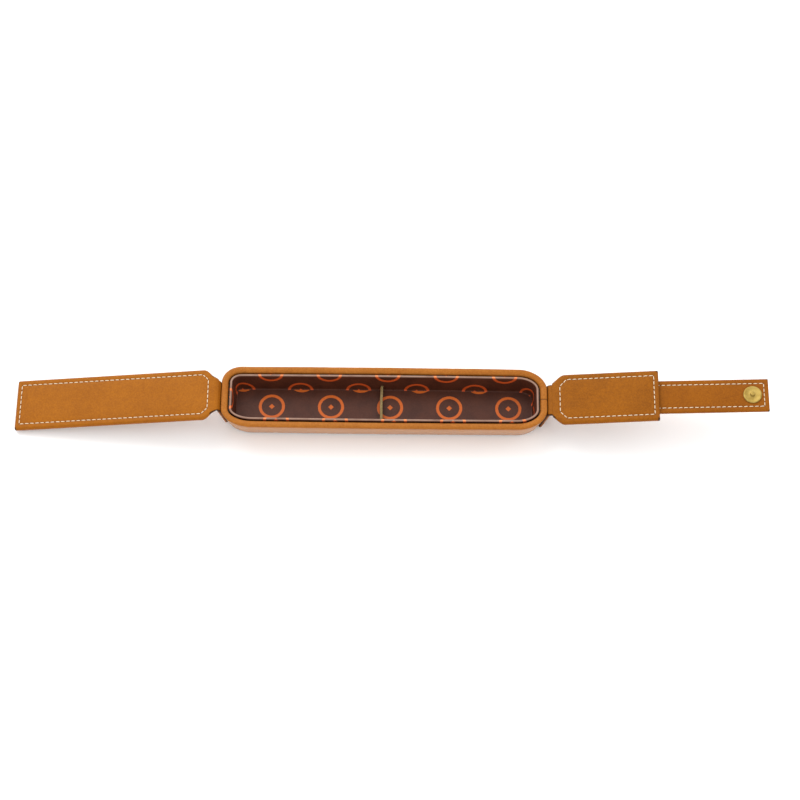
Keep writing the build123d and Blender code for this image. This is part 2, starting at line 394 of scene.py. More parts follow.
def threadMaterial(name, light, dark):
    shader = Shader(name)
    rest = shader.rest()
    ply = shader.node("ShaderNodeTexWave", {"bands_direction": "DIAGONAL"}, {
        "Vector": rest, "Scale": 1.6, "Distortion": 1.0})
    fuzz = shader.noise(rest, 4.0, 3.0, 0.7)
    color = shader.mix(fuzz.ramp(0.35, 0.75), light, dark)
    return shader.finish(color=color, rough=fuzz.ramp(0.3, 0.7, 0.55, 0.75),
                         normal=shader.bump(ply + fuzz * 0.3, 0.6, 0.00006))


creamThread = threadMaterial("creamThread", srgb(232, 218, 192), srgb(200, 180, 146))


def holeMaterial():
    shader = Shader("needleHole")
    fuzz = shader.noise(shader.rest(), 3.0)
    return shader.finish(color=shader.mix(fuzz, srgb(112, 64, 26), srgb(84, 46, 18)), rough=0.8)


needleHole = holeMaterial()


def scuffedMetal(name, light, dark, rough, metal=1.0, scratch=0.5):
    # fine scratches run two ways
    shader = Shader(name)
    place = shader.node("ShaderNodeTexCoord", {}, {}, 3)
    grain = shader.noise(place, 900.0, 3.0, 0.6)
    stretched = shader.vector("MULTIPLY", place, (700.0, 6000.0, 700.0))
    fine = shader.noise(stretched, 1.0, 2.0)
    crossed = shader.vector("MULTIPLY", place, (5200.0, 900.0, 900.0))
    fineCrossed = shader.noise(crossed, 1.0, 2.0)
    marks = fine.ramp(0.58, 0.7).atLeast(fineCrossed.ramp(0.62, 0.74))
    cloud = shader.noise(place, 260.0, 3.0, 0.6)
    color = shader.mix(cloud.ramp(0.35, 0.7), light, dark)
    color = shader.mix(marks * scratch * 0.6, color, srgb(182, 164, 116))
    return shader.finish(color=color, metal=metal,
                         rough=(grain * 0.14 + rough - marks * 0.06),
                         normal=shader.bump(grain - marks * scratch, 0.35, 0.00003))


scuffedBrass = scuffedMetal("scuffedBrass", srgb(174, 148, 80), srgb(146, 120, 58), 0.42)
zincSteel = scuffedMetal("zincSteel", srgb(196, 198, 202), srgb(160, 164, 170), 0.34, 1.0, 0.25)
pressedMagnet = scuffedMetal("pressedMagnet", srgb(62, 62, 66), srgb(44, 44, 48), 0.6, 0.4, 0.1)


def boardMaterial(name, light, dark, scale):
    shader = Shader(name)
    place = shader.node("ShaderNodeTexCoord", {}, {}, 3)
    fibre = shader.noise(shader.vector("MULTIPLY", place, (scale, scale * 0.35, scale)), 1.0, 4.0, 0.7)
    fleck = shader.cells(place, scale * 0.6)
    color = shader.mix(fibre.ramp(0.3, 0.7), light, dark)
    color = shader.mix(fleck.ramp(0.0, 0.12, 0.35, 0.0), color, dark)
    return shader.finish(color=color, rough=0.86, normal=shader.bump(fibre + fleck * 0.3, 0.6, 0.0001))


pressedBoard = boardMaterial("pressedBoard", srgb(176, 158, 134), srgb(132, 114, 92), 2200.0)
rawEdge = boardMaterial("rawDividerEdge", srgb(146, 124, 78), srgb(104, 86, 52), 3000.0)


def tapeMaterial():
    shader = Shader("cottonTape")
    place = shader.node("ShaderNodeTexCoord", {}, {}, 3)
    warp = shader.node("ShaderNodeTexWave", {"bands_direction": "X"}, {"Vector": place, "Scale": 500.0})
    weft = shader.node("ShaderNodeTexWave", {"bands_direction": "Y"}, {"Vector": place, "Scale": 500.0})
    cloth = warp * weft
    color = shader.mix(cloth, srgb(204, 194, 172), srgb(232, 224, 204))
    return shader.finish(color=color, rough=0.9, normal=shader.bump(cloth, 0.6, 0.0001))


cottonTape = tapeMaterial()
print("materials made")


# millimetres; insets are drawn in from the rim's outline
tray = {
    "long": 175.6,
    "wide": 35.6,
    "high": 18.0,
    "slope": 0.2389,  # how fast the outer wall leans in on the way down
    "hollowInset": 5.8,  # at the top
    "hollowSlope": 0.126,
    "floor": 5.0,
    "bow": 0.35,  # how far the long sides swell
    # corner reach along and across, seen from above
    "backLeft": (10.5, 9.4),
    "backRight": (16.0, 12.0),
    "frontRight": (16.5, 12.0),
    "frontLeft": (17.0, 11.0),
    "sideSteps": 64,
    "cornerSteps": 16,
    "endSteps": (0.0, 0.03, 0.06, 0.1, 0.16, 0.3, 0.5, 0.75),  # closest at the seam
    "seamDip": 0.28,
    "seamPaint": 0.55,
}


def trayRing(inset):
    # the tray's outline drawn in by inset, from the middle of the left end over the back
    halfLong = tray["long"] / 2
    halfWide = tray["wide"] / 2
    ring = []

    def corner(key, signX, signY, fromEnd):
        reachX, reachY = tray[key]
        centreX = halfLong - reachX
        centreY = halfWide - reachY
        radiusX = max(reachX - inset, 1.2)
        radiusY = max(reachY - inset, 1.2)
        for step in range(tray["cornerSteps"] + 1):
            angle = step / tray["cornerSteps"] * math.pi / 2
            if not fromEnd:
                angle = math.pi / 2 - angle
            ring.append((signX * (centreX + radiusX * math.cos(angle)),
                         signY * (centreY + radiusY * math.sin(angle))))

    def endHalf(key, signX, signY, outward):
        y = halfWide - tray[key][1]
        for t in tray["endSteps"] if outward else reversed(tray["endSteps"]):
            ring.append((signX * (halfLong - inset), signY * y * t))

    def side(signY, leftKey, rightKey, rightward):
        left = -halfLong + tray[leftKey][0]
        right = halfLong - tray[rightKey][0]
        for step in range(1, tray["sideSteps"]):
            t = step / tray["sideSteps"]
            x = left + (right - left) * (t if rightward else 1 - t)
            ring.append((x, signY * (halfWide - inset)))

    endHalf("backLeft", -1, 1, True)
    corner("backLeft", -1, 1, True)
    side(1, "backLeft", "backRight", True)
    corner("backRight", 1, 1, False)
    endHalf("backRight", 1, 1, False)
    endHalf("frontRight", 1, -1, True)
    corner("frontRight", 1, -1, True)
    side(-1, "frontLeft", "frontRight", False)
    corner("frontLeft", -1, -1, False)
    endHalf("frontLeft", -1, -1, False)
    apart = [point for i, point in enumerate(ring) if i == 0 or math.dist(point, ring[i - 1]) > 1e-9]
    if math.dist(apart[0], apart[-1]) < 1e-9:
        apart.pop()
    return [(x, y + math.copysign(tray["bow"] * (1 - (x / halfLong) ** 2), y) * (abs(y) > 6))
            for x, y in apart]


def ringPiece(profile, shape=None):
    # a surface through the outline at every (inset, height) of the profile
    points = []
    rows = [trayRing(inset) for inset, height in profile]
    for (inset, height), row in zip(profile, rows):
        for x, y in row:
            points.append((x, y, height))
    if shape:
        points = [shape(x, y, z) for x, y, z in points]
    return points, gridFaces(len(profile), len(rows[0]))


def closeTop(points, faces, around):
    # one face across the last outline
    faces.append(tuple(range(len(points) - around, len(points))))


def wallInset(z):
    return tray["slope"] * (tray["high"] - z)


# (inset, height) from under the base, up the wall and over the rim into the hollow
wallProfile = [(8.0, 0.95), (6.0, 0.92), (wallInset(0.9) + 0.35, 0.92), (wallInset(1.3) + 0.05, 1.25)]
wallProfile += [(wallInset(z) - 0.12 * math.sin((z - 2) / 14 * math.pi), z)
                for z in (2, 4, 6, 8, 10, 12, 14, 15.6)]
wallProfile += [(0.24, 16.5), (0.08, 17.1), (0.22, 17.6), (0.62, 17.92), (1.25, 18.05), (2.0, 18.04),
                (2.75, 17.88), (3.35, 17.5), (3.68, 16.9), (3.78, 16.2), (3.8, 14.6)]
wallProfile = smoothCurve(wallProfile, 3)


def wallShape(x, y, z):
    # the joint where the leather meets, and slow unevenness from wrapping by hand
    if x > 80 and abs(y) < 1.2:
        dip = tray["seamDip"] * math.exp(-(y / 0.32) ** 2)
        x -= dip if z < 16 else dip * 0.3
        z -= dip if z > 16 else 0
    ripple = 0.05 * math.sin(x * 0.21 + 1.3) * math.cos(x * 0.083) + 0.03 * math.sin(x * 0.57 + z)
    y += math.copysign(ripple, y) if abs(y) > 8 else 0
    if z > 17:
        z += 0.05 * math.sin(x * 0.13 + math.copysign(1.0, y)) * (abs(x) < 84)
    return (x, y, z)


points, faces = ringPiece(wallProfile, wallShape)
wallSeam = [tray["seamPaint"] if x > 80 and abs(y) < 0.2 and z > 15.5 else 0.0 for x, y, z in points]
wallPiece = addPiece("wallLeather", points, faces, wallSeam)
finishPiece(wallPiece, rimTan, "tray", ["wall_leather"])


def hollowInset(z):
    return tray["hollowInset"] + tray["hollowSlope"] * (tray["high"] - z)


# from behind the lip, over it and down the inside to the floor
liningProfile = [(4.62, 15.0), (4.52, 16.4), (4.5, 17.0), (4.62, 17.4), (4.92, 17.66), (5.3, 17.7),
                 (5.64, 17.5), (5.8, 17.15), (hollowInset(16.6), 16.6)]
liningProfile += [(hollowInset(z) - 0.05, z) for z in (15.5, 14, 12, 10, 8, 6.5)]
liningProfile += [(hollowInset(5.8) - 0.02, 5.8), (hollowInset(5.3) + 0.12, 5.25),
                  (hollowInset(5) + 0.5, 5.04)]
liningProfile = smoothCurve(liningProfile, 3)


def wallPrint(rows):
    # printed cloth round the wall: distance along it and height above the floor
    reference = trayRing(6.6)
    around = len(reference)
    runs = [0.0]
    for i in range(1, around):
        runs.append(runs[-1] + math.dist(reference[i], reference[i - 1]))
    runs.append(runs[-1] + math.dist(reference[0], reference[-1]))
    backMiddle = min((abs(x), run) for (x, y), run in zip(reference, runs) if y > 8)[1]
    frontMiddle = min((abs(x), run) for (x, y), run in zip(reference, runs) if y < -8)[1]
    heights = [0.0] * rows
    for row in range(rows - 2, -1, -1):
        heights[row] = heights[row + 1] + math.dist(liningProfile[row], liningProfile[row + 1])
    first = liningPrint["first"]
    stretch = liningPrint["pitch"][0] / 31.6
    half = max(i for i in range(around) if reference[i][1] >= 0)
    uv = []
    for row in range(rows - 1):
        for column in range(around):
            back = column < half
            pairs = []
            for r, c in ((row, column), (row, column + 1), (row + 1, column + 1), (row + 1, column)):
                along = (runs[c] - backMiddle + 1.0) if back else (frontMiddle - runs[c] - 2.0)
                pairs.append(((along - first) * stretch + first, heights[r] - 15.0))
            uv.append(pairs)
    return uv


points, faces = ringPiece(liningProfile)
wallUv = wallPrint(len(liningProfile))
# painted highlight where the lining rolls over the lip
liningLipHighlight = [ease(z, 17.2, 17.6) for x, y, z in points]
liningPiece = addPiece("wallLining", points, faces, liningLipHighlight, wallUv, outward=False)
finishPiece(liningPiece, shadedWallCloth, "tray", ["wall_lining"])


# the stiff board that the wall lining is glued round
boardProfile = [(hollowInset(z) - out, z)
                for out, z in ((1.25, 3.45), (1.25, 17.0), (0.7, 17.05), (0.7, 3.45), (1.25, 3.45))]
points, faces = ringPiece(boardProfile)
boardPiece = addPiece("hollowBoard", points, faces)
finishPiece(boardPiece, pressedBoard, "tray", ["tray_wall_board"])

# and the one inside the outer leather
coreProfile = [(wallInset(z) + deep, z)
               for deep, z in ((1.0, 2.0), (1.0, 16.9), (2.75, 16.9), (2.75, 2.0), (1.0, 2.0))]
points, faces = ringPiece(coreProfile)
corePiece = addPiece("wallBoard", points, faces)
finishPiece(corePiece, pressedBoard, "tray", ["wall_board"])


def floorShape(x, y, rolled):
    # the lining turns up a little at the wall and isn't quite flat
    lift = 0.1 if rolled else 0.02 * math.sin(x * 0.19) * math.cos(y * 0.4)
    return (x, y, tray["floor"] + lift)


floorInset = hollowInset(tray["floor"]) - 0.05
floorRings = [(floorInset, 1.0)] + [(floorInset + reach, 0.0) for reach in (0.4, 0.9, 1.6, 2.4)]
points, faces = ringPiece(floorRings, floorShape)
closeTop(points, faces, len(points) // len(floorRings))
floorUv = [[(points[i][0], points[i][1]) for i in face] for face in faces]
floorPiece = addPiece("floorLining", points, faces, uv=floorUv, outward=False)
finishPiece(floorPiece, floorCloth, "tray", ["floor_lining"])


def basePoints():
    # the underside: a flat leather panel with a rounded rim
    profile = [(4.9, 0.95), (4.62, 0.9), (4.5, 0.62), (4.55, 0.3), (4.75, 0.08), (5.1, 0.0), (6.5, 0.0),
               (8.0, 0.0)]
    points, faces = ringPiece(profile)
    closeTop(points, faces, len(points) // len(profile))
    return points, faces


points, faces = basePoints()
basePiece = addPiece("baseLeather", points, faces, [0.9 if z > 0.2 else 0.0 for x, y, z in points])
finishPiece(basePiece, baseTan, "tray", ["base_leather"])

divider = {"left": -2.3, "right": -0.9, "low": 5.0, "high": 9.0, "lean": 0.35, "bow": 0.25, "halfSteps": 14}


def dividerPoints():
    # an upright strip across the tray that leans and bows a little
    points = []
    halfSteps = divider["halfSteps"]
    section = [(0.0, 0.0), (0.0, 0.5), (0.0, 0.93), (0.2, 1.0), (0.8, 1.0), (1.0, 0.93), (1.0, 0.5),
               (1.0, 0.0)]
    for step in range(2 * halfSteps + 1):
        across = step / halfSteps - 1
        for u, v in section:
            z = divider["low"] + (divider["high"] - divider["low"]) * v
            half = tray["wide"] / 2 + tray["bow"] - hollowInset(z) + 0.1
            x = divider["left"] + (divider["right"] - divider["left"]) * u
            x += divider["lean"] * v * v - divider["bow"] * (1 - across * across) * v
            points.append((x, across * half, z + 0.05 * math.sin(across * 5) * v))
    faces = gridFaces(2 * halfSteps + 1, len(section), False)
    faces.append(tuple(range(len(section))))
    faces.append(tuple(reversed(range(len(points) - len(section), len(points)))))
    return points, faces


points, faces = dividerPoints()
dividerUv = [[(points[i][1] + 9.0, points[i][2] + 8.0) for i in face] for face in faces]
dividerPiece = addPiece("trayDivider", points, faces, uv=dividerUv)
dividerPiece.data.materials.append(floorCloth)
dividerPiece.data.materials.append(rawEdge)
for polygon in dividerPiece.data.polygons:
    polygon.material_index = 1 if polygon.center.z > (divider["high"] - 0.35) * mm else 0
finishPiece(dividerPiece, floorCloth, "tray", ["divider"])
print("tray built")


# flaps and strap: leather swept along a line seen from the side
sweep = {
    "topColumns": (0.0, 0.6, 1.2, 1.6, 1.85, 2.1, 2.35, 2.75, 3.5, 4.8),  # in from the edge round
    "midColumns": 9,
    "arcSteps": 6,
    "edgeRound": 0.95,
    "shoulderRound": 3.4,  # length over which a flap's outline is averaged
    "shoulderSamples": 15,
    "furrow": (0.2, 0.5),  # depth and half width along the stitches
}


def unit(x, z):
    size = math.hypot(x, z)
    return x / size, z / size


def bezier(a, b, c, d, steps):
    line = []
    for step in range(steps + 1):
        t = step / steps
        s = 1 - t
        line.append(tuple(s ** 3 * a[k] + 3 * s * s * t * b[k] + 3 * s * t * t * c[k] + t ** 3 * d[k]
                          for k in range(2)))
    return line


def widthAt(x, points):
    # half width along a flap, its corners rounded by averaging
    total = 0.0
    samples = sweep["shoulderSamples"]
    for i in range(samples):
        at = x + sweep["shoulderRound"] * (i / (samples - 1) - 0.5)
        value = points[0][1]
        for (x0, h0), (x1, h1) in zip(points, points[1:]):
            if at >= x1:
                value = h1
            elif at > x0:
                value = h0 + (h1 - h0) * (at - x0) / (x1 - x0)
                break
        total += value
    return total / samples


def seamDistance(x, y, seam):
    best = 99.0
    for (ax, ay), (bx, by) in zip(seam, seam[1:]):
        dx, dy = bx - ax, by - ay
        t = ((x - ax) * dx + (y - ay) * dy) / (dx * dx + dy * dy)
        t = min(max(t, 0.0), 1.0)
        best = min(best, math.hypot(x - ax - dx * t, y - ay - dy * t))
    return best


def relief(x, y, seam, inside, puff):
    # how far the surface stands proud: a furrow at the stitches, a soft swell inside them
    if not seam:
        return 0.0
    away = seamDistance(x, y, seam)
    depth, reach = sweep["furrow"]
    height = -depth * math.exp(-(away / reach) ** 2)
    if inside(x, y):
        height += puff * ease(away, 0.4, 6.0)
    return height


def sweptLeather(name, side, stations, seam=None, inside=None, puff=0.14, capStart=True, capEnd=True,
                 corners=None, foldShade=None):
    # each station: centre, direction of travel, half width, half thickness, place along the flap, edge paint
    # corners: paint beyond this place and half width; foldShade: painted shade in the crease against the rim,
    # fading between two places
    points, edge = [], []
    count = 0
    for centre, heading, half, thick, along, painted in stations:
        nx, nz = -heading[1], heading[0]
        turned = min(thick, sweep["edgeRound"])
        flat = half - turned
        inner = flat - sweep["topColumns"][-1]
        across = [-(flat - c) for c in sweep["topColumns"]]
        across += [-inner + 2 * inner * (i + 1) / (sweep["midColumns"] + 1) for i in range(sweep["midColumns"])]
        across += [flat - c for c in reversed(sweep["topColumns"])]
        loop = []
        for y in across:
            loop.append((y, thick + relief(along, y, seam, inside, puff), 0.0))
        for i in range(1, sweep["arcSteps"]):
            a = math.pi * i / sweep["arcSteps"]
            loop.append((flat + turned * math.sin(a), thick * math.cos(a), painted))
        for y in reversed(across):
            loop.append((y, -thick - relief(along, y, seam, inside, puff), 0.0))
        for i in range(1, sweep["arcSteps"]):
            a = math.pi * i / sweep["arcSteps"]
            loop.append((-flat - turned * math.sin(a), -thick * math.cos(a), painted))
        count = len(loop)
        for y, lift, paint in loop:
            points.append((side * (centre[0] + nx * lift), y, centre[1] + nz * lift))
            # on the tails the cut edge's paint stays light, and the corner against the wall stays dark as
            # painted shade of the gap
            if along < -2.5 and lift < thick * 0.45:
                paint = min(paint, 0.25)  # only the corner against the wall stays dark
            # painted shade in the crease between the neck and the rim
            if foldShade and along < foldShade[1] and lift > 0:
                paint = max(paint, foldShade[2] * (1 - ease(along, foldShade[0], foldShade[1])))
            if corners and along > corners[0] and abs(y) > corners[1]:
                paint = max(paint, corners[2])
            edge.append(paint)
    faces = gridFaces(len(stations), count)
    if capStart:
        faces.append(tuple(range(count)))
    if capEnd:
        faces.append(tuple(reversed(range(len(points) - count, len(points)))))
    return addPiece(name, points, faces, edge)


def tipStations(frameAt, length, half, thick, turned, painted):
    # the free end rolls over
    made = []
    for i in range(7):
        a = i / 6 * math.pi / 2
        cut = turned * (1 - math.cos(a))
        along = length - turned + turned * math.sin(a)
        centre, heading = frameAt(along)
        made.append((centre, heading, half - cut, max(thick - cut, 0.12), along, painted))
    return made


def spaced(low, high, step):
    count = max(1, round((high - low) / step))
    return [low + (high - low) * i / count for i in range(count + 1)]


# "thick" is half the leather's thickness and "half" half its width; a place is (out from the
# tray's middle, height), and a flap's own lengths start at its turning line
linkRise = math.radians(60)
longFlap = {
    "link": (89.1, 18.0),  # lower turning line
    "turn": (90.15, 18.0 + 2.1 * math.sin(linkRise)),  # upper turning line
    "lean": math.radians(-9.2),
    "long": 111.1,
    "widths": [(0.4, 9.0), (5.6, 14.65)],
    "half": 14.65,
    "thick": 1.4,
    "neckThick": 0.74,
    "fullThick": 5.5,  # where the board starts
    "join": 2.4,  # end of the bent neck
    "corners": (110.1, 13.5, 0.9),
    # painted shade in the crease between the neck and the rim: from, to and strength
    "tailFoldShade": (-3.4, -0.8, 1.0),
    "tailBend": ((88.5, 16.6), (89.42, 18.5)),
    "neckBend": (0.55, 2.95),  # from the neck's middle, along bendWay
    "bendWay": (0.903, 0.429),
    "seam": [(4.4, -8.4), (7.6, -11.5), (108.6, -11.5), (108.6, 11.5), (7.6, 11.5), (4.4, 8.4), (4.4, -8.4)],
}
shortFlap = {
    "turn": (88.2, 18.0),
    "lean": math.radians(7.5),
    "long": 59.3,
    "widths": [(1.6, 9.1), (7.4, 14.65)],
    "half": 14.65,
    "thick": 1.4,
    "neckThick": 1.2,
    "fullThick": 8.0,
    "join": 2.0,
    "face": -0.4,  # the inner face, below the turning line
    "corners": (58.3, 13.5, 0.9),
    # painted shade in the crease between the neck and the rim: from, to and strength
    "tailFoldShade": (-3.6, -1.3, 1.0),
    "bend": ((88.7, 16.1), (90.25, 17.5)),
    "seam": [(6.4, -7.6), (10.0, -11.4), (56.8, -11.4), (56.8, 11.4), (10.0, 11.4), (6.4, 7.6), (6.4, -7.6)],
}
strap = {
    "root": 59.5,  # where it leaves the short flap, along that flap
    "rootHeight": -5.2,  # its outer face there
    "anchor": 22.0,
    "drop": math.radians(3.4),
    "long": 58.0,
    "half": 9.6,
    "thick": 1.0,
    "paint": 0.34,
    "bend": (-1.6, 3.2),
    "seam": [(-19.5, -6.7), (55.5, -6.7), (55.5, 6.7), (-19.5, 6.7)],
}
# the leather glued down each end wall: its lower ends are for the long and the short flap
tail = {"lows": (3.4, 1.2), "high": 13.5, "half": 9.0, "thick": 1.0, "standOff": 1.02}


def bendPoint(side, place):
    return (side * place[0] * mm, 0, place[1] * mm)


def headings(line, first, last):
    # the direction of travel at each point, with the ends given
    middle = [unit(after[0] - before[0], after[1] - before[1]) for before, after in zip(line, line[2:])]
    return [first] + middle + [last]


def tailStations(end, endHeading, reach, steps, low):
    # up the end wall, then away from it to the neck
    def wallPlace(z):
        return (tray["long"] / 2 - wallInset(z) + tail["standOff"], z)

    rise = unit(tray["slope"], 1.0)
    made = []
    for z in spaced(low, tail["high"], 0.8)[:-1]:
        made.append((wallPlace(z), rise, tail["half"], tail["thick"], -20.0 + z, 1.0))
    start = wallPlace(tail["high"])
    line = bezier(start, (start[0] + rise[0] * reach, start[1] + rise[1] * reach),
                  (end[0] - endHeading[0] * reach, end[1] - endHeading[1] * reach), end, steps)
    for i, heading in enumerate(headings(line, rise, endHeading)):
        thick = tail["thick"] + (longFlap["neckThick"] - tail["thick"]) * i / steps
        made.append((line[i], heading, tail["half"], thick, -6.0 + 6.0 * i / steps, 1.0))
    x, z = made[0][0]
    rolled = [((x - rise[0] * 0.5, z - rise[1] * 0.5), rise, tail["half"] - 0.5, 0.55, -20.0, 1.0)]
    return rolled + made


def inSeam(flap):
    start = flap["seam"][0][0]
    end = max(x for x, y in flap["seam"])
    side = max(y for x, y in flap["seam"])
    return lambda x, y: start < x < end and abs(y) < side


def planePlace(flap, along, height):
    # a point of the flap's own plane, seen from the side
    c, s = math.cos(flap["lean"]), math.sin(flap["lean"])
    x, z = flap["turn"]
    return (x + along * c - height * s, z + along * s + height * c)


def thickAt(flap, along):
    rising = ease(along, 1.2, flap["fullThick"])
    return flap["neckThick"] + (flap["thick"] - flap["neckThick"]) * rising


def panelStation(flap, panel, along, painted):
    centre, heading = panel(along)
    return (centre, heading, widthAt(along, flap["widths"]), thickAt(flap, along), along, painted)


def panelStations(flap, panel, first, last, fade):
    # close together at both ends, with the edge paint fading out past the neck
    spots = spaced(flap["join"], first, 0.4)[1:] + spaced(first, last, 1.0)[1:]
    spots += spaced(last, flap["long"] - 0.9, 0.3)[1:-1]
    made = [panelStation(flap, panel, along, 1.0 - ease(along, *fade)) for along in spots]
    return made + tipStations(panel, flap["long"], flap["half"], flap["thick"], 0.8, 0.5)


linkHeading = (0.5, math.sin(linkRise))
neckMiddle = ((longFlap["link"][0] + longFlap["turn"][0]) / 2, (longFlap["link"][1] + longFlap["turn"][1]) / 2)

# the lower half of the long flap's neck, with the stretch glued to the end wall
longTail = sweptLeather("longFlapTail", -1, tailStations(neckMiddle, linkHeading, 1.9, 26, tail["lows"][0]),
                        capEnd=False, foldShade=longFlap["tailFoldShade"])
finishPiece(longTail, longFlapTan, None, ["left_end_strap", "left_neck"])
bendPoint(-1, longFlap["tailBend"][0])
bendPoint(-1, longFlap["tailBend"][1])
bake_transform(longTail)


def longStations():
    flap = longFlap
    heading = (math.cos(flap["lean"]), math.sin(flap["lean"]))

    def panel(along):
        return planePlace(flap, along, 0), heading

    made = []
    steps = 20
    end = planePlace(flap, flap["join"], 0)
    line = bezier(neckMiddle, (neckMiddle[0] + linkHeading[0] * 0.75, neckMiddle[1] + linkHeading[1] * 0.75),
                  (end[0] - heading[0] * 1.3, end[1] - heading[1] * 1.3), end, steps)
    for i, way in enumerate(headings(line, linkHeading, heading)):
        made.append(panelStation(flap, lambda along: (line[i], way), flap["join"] * i / steps, 1.0))
    return made + panelStations(flap, panel, 9.0, 105.0, (2.4, 3.6))


longPiece = sweptLeather("longFlapLeather", -1, longStations(), longFlap["seam"], inSeam(longFlap),
                         capStart=False, corners=longFlap["corners"])
finishPiece(longPiece, longFlapTan, None, ["left_flap_facing", "left_flap_cover"])
bendStart, bendEnd = [tuple(neckMiddle[k] + reach * longFlap["bendWay"][k] for k in range(2))
                      for reach in longFlap["neckBend"]]
bendPoint(-1, bendStart)
bendPoint(-1, bendEnd)
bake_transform(longPiece)


def shortStations():
    flap = shortFlap
    heading = (math.cos(flap["lean"]), math.sin(flap["lean"]))

    def panel(along):
        return planePlace(flap, along, flap["face"] - thickAt(flap, along)), heading

    made = tailStations(panel(flap["join"])[0], heading, 2.1, 34, tail["lows"][1])
    return made + panelStations(flap, panel, 11.0, 54.0, (3.0, 4.4))


shortPiece = sweptLeather("shortFlapLeather", 1, shortStations(), shortFlap["seam"], inSeam(shortFlap),
                          corners=shortFlap["corners"], foldShade=shortFlap["tailFoldShade"])
finishPiece(shortPiece, shortFlapTan, None,
            ["right_flap_facing", "right_flap_cover", "right_end_strap"])
bendPoint(1, shortFlap["bend"][0])
bendPoint(1, shortFlap["bend"][1])
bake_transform(shortPiece)


def strapPlace(along, height):
    # height above the strap's outer face
    rootX, rootZ = planePlace(shortFlap, strap["root"], strap["rootHeight"])
    lean = shortFlap["lean"] - (strap["drop"] if along > 0 else 0.0)
    c, s = math.cos(lean), math.sin(lean)
    return (rootX + along * c - height * s, rootZ + along * s + height * c), (c, s)


def strapStations():
    def line(along):
        return strapPlace(along, strap["thick"])

    made = []
    # close together where the strap bends and at its tip
    spots = spaced(-strap["anchor"] + 0.3, -3.0, 1.0) + spaced(-3.0, 4.0, 0.25)[1:] + spaced(4.0, 52.0, 1.0)[1:]
    for along in spots + spaced(52.0, strap["long"] - 0.7, 0.3)[1:-1]:
        centre, way = line(along)
        made.append((centre, way, strap["half"], strap["thick"], along, strap["paint"]))
    first = line(-strap["anchor"])
    rolled = [(first[0], first[1], strap["half"] - 0.35, 0.65, -strap["anchor"], 1.0)]
    return rolled + made + tipStations(line, strap["long"], strap["half"], strap["thick"], 0.5, 1.0)


strapPiece = sweptLeather("strapLeather", 1, strapStations(), strap["seam"],
                          lambda x, y: x < strap["seam"][1][0] and abs(y) < strap["seam"][2][1], puff=0.08)
finishPiece(strapPiece, strapTan, None, ["strap_anchor", "strap_facing", "strap_cover"])
strapBend = [bendPoint(1, strapPlace(along, strap["thick"])[0]) for along in strap["bend"]]
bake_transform(strapPiece)
print("flaps and strap built")


stitch = {
    "pitch": 2.9,
    "long": 2.35,
    "thick": 0.21,
    "sunk": 0.03,  # below the leather's face
    "tilt": 4.0,  # degrees, at random either way
    "slant": 2.5,  # degrees, all one way
    "hole": (0.3, 0.24),  # half length and radius
}


def stitchSpots(seam):
    # middle and direction of every stitch on a seam
    spots = []
    for (ax, ay), (bx, by) in zip(seam, seam[1:]):
        run = math.hypot(bx - ax, by - ay)
        count = max(1, round(run / stitch["pitch"]))
        for i in range(count):
            t = (i + 0.5) / count
            spots.append((ax + (bx - ax) * t, ay + (by - ay) * t, math.atan2(by - ay, bx - ax), run / count))
    return spots


def stitchPiece(name, side, seam, surface, faces):
    # threads first, then the needle holes at their ends
    points, polygons, kinds = [], [], []
    rings, around = 7, 8

    def blob(middle, along, across, up, lengthHalf, radius, flat, kind):
        first = len(points)
        for r in range(rings):
            t = -1 + 2 * r / (rings - 1)
            size = radius * (1 - abs(t) ** 3.2) ** 0.5 if abs(t) < 1 else radius * 0.12
            arch = -0.5 * radius * t * t
            for a in range(around):
                angle = math.tau * a / around
                place = [middle[k] + along[k] * lengthHalf * t + across[k] * size * math.cos(angle)
                         + up[k] * (size * flat * math.sin(angle) + arch) for k in range(3)]
                points.append(tuple(place))
        ends = [tuple(range(around)), tuple(reversed(range((rings - 1) * around, rings * around)))]
        for face in gridFaces(rings, around) + ends:
            polygons.append(tuple(first + i for i in face))
            kinds.append(kind)

    for x, y, angle, room in stitchSpots(seam):
        for face in faces:
            (px, pz), (dx, dz) = surface(x, face)
            tilt = angle + math.radians(dice.uniform(-1, 1) * stitch["tilt"] + stitch["slant"] * face)
            forward = (side * dx * math.cos(tilt), math.sin(tilt), dz * math.cos(tilt))
            across = (-side * dx * math.sin(tilt), math.cos(tilt), -dz * math.sin(tilt))
            up = (-side * dz * face, 0.0, dx * face)
            middle = (side * px - up[0] * stitch["sunk"], y, pz - up[2] * stitch["sunk"])
            half = room / 2 * stitch["long"] / stitch["pitch"] * dice.uniform(0.94, 1.04)
            blob(middle, forward, across, up, half, stitch["thick"], 0.85, 0)
            for end in (-1, 1):
                spot = tuple(middle[k] + forward[k] * end * (half + 0.12) - up[k] * 0.1 for k in range(3))
                blob(spot, forward, across, up, *stitch["hole"], 0.4, 1)
    piece = addPiece(name, points, polygons)
    piece.data.materials.append(creamThread)
    piece.data.materials.append(needleHole)
    for polygon, kind in zip(piece.data.polygons, kinds):
        polygon.material_index = kind
    return piece


def flapSurface(flap):
    c, s = math.cos(flap["lean"]), math.sin(flap["lean"])

    def surface(along, face):
        # face: 1 is the inner face, -1 the outer
        thick = thickAt(flap, along)
        middle = flap["face"] - thick if "face" in flap else 0.0
        return planePlace(flap, along, middle + face * thick), (c, s)
    return surface


def strapSurface(along, face):
    return strapPlace(along, strap["thick"] * (1 + face))


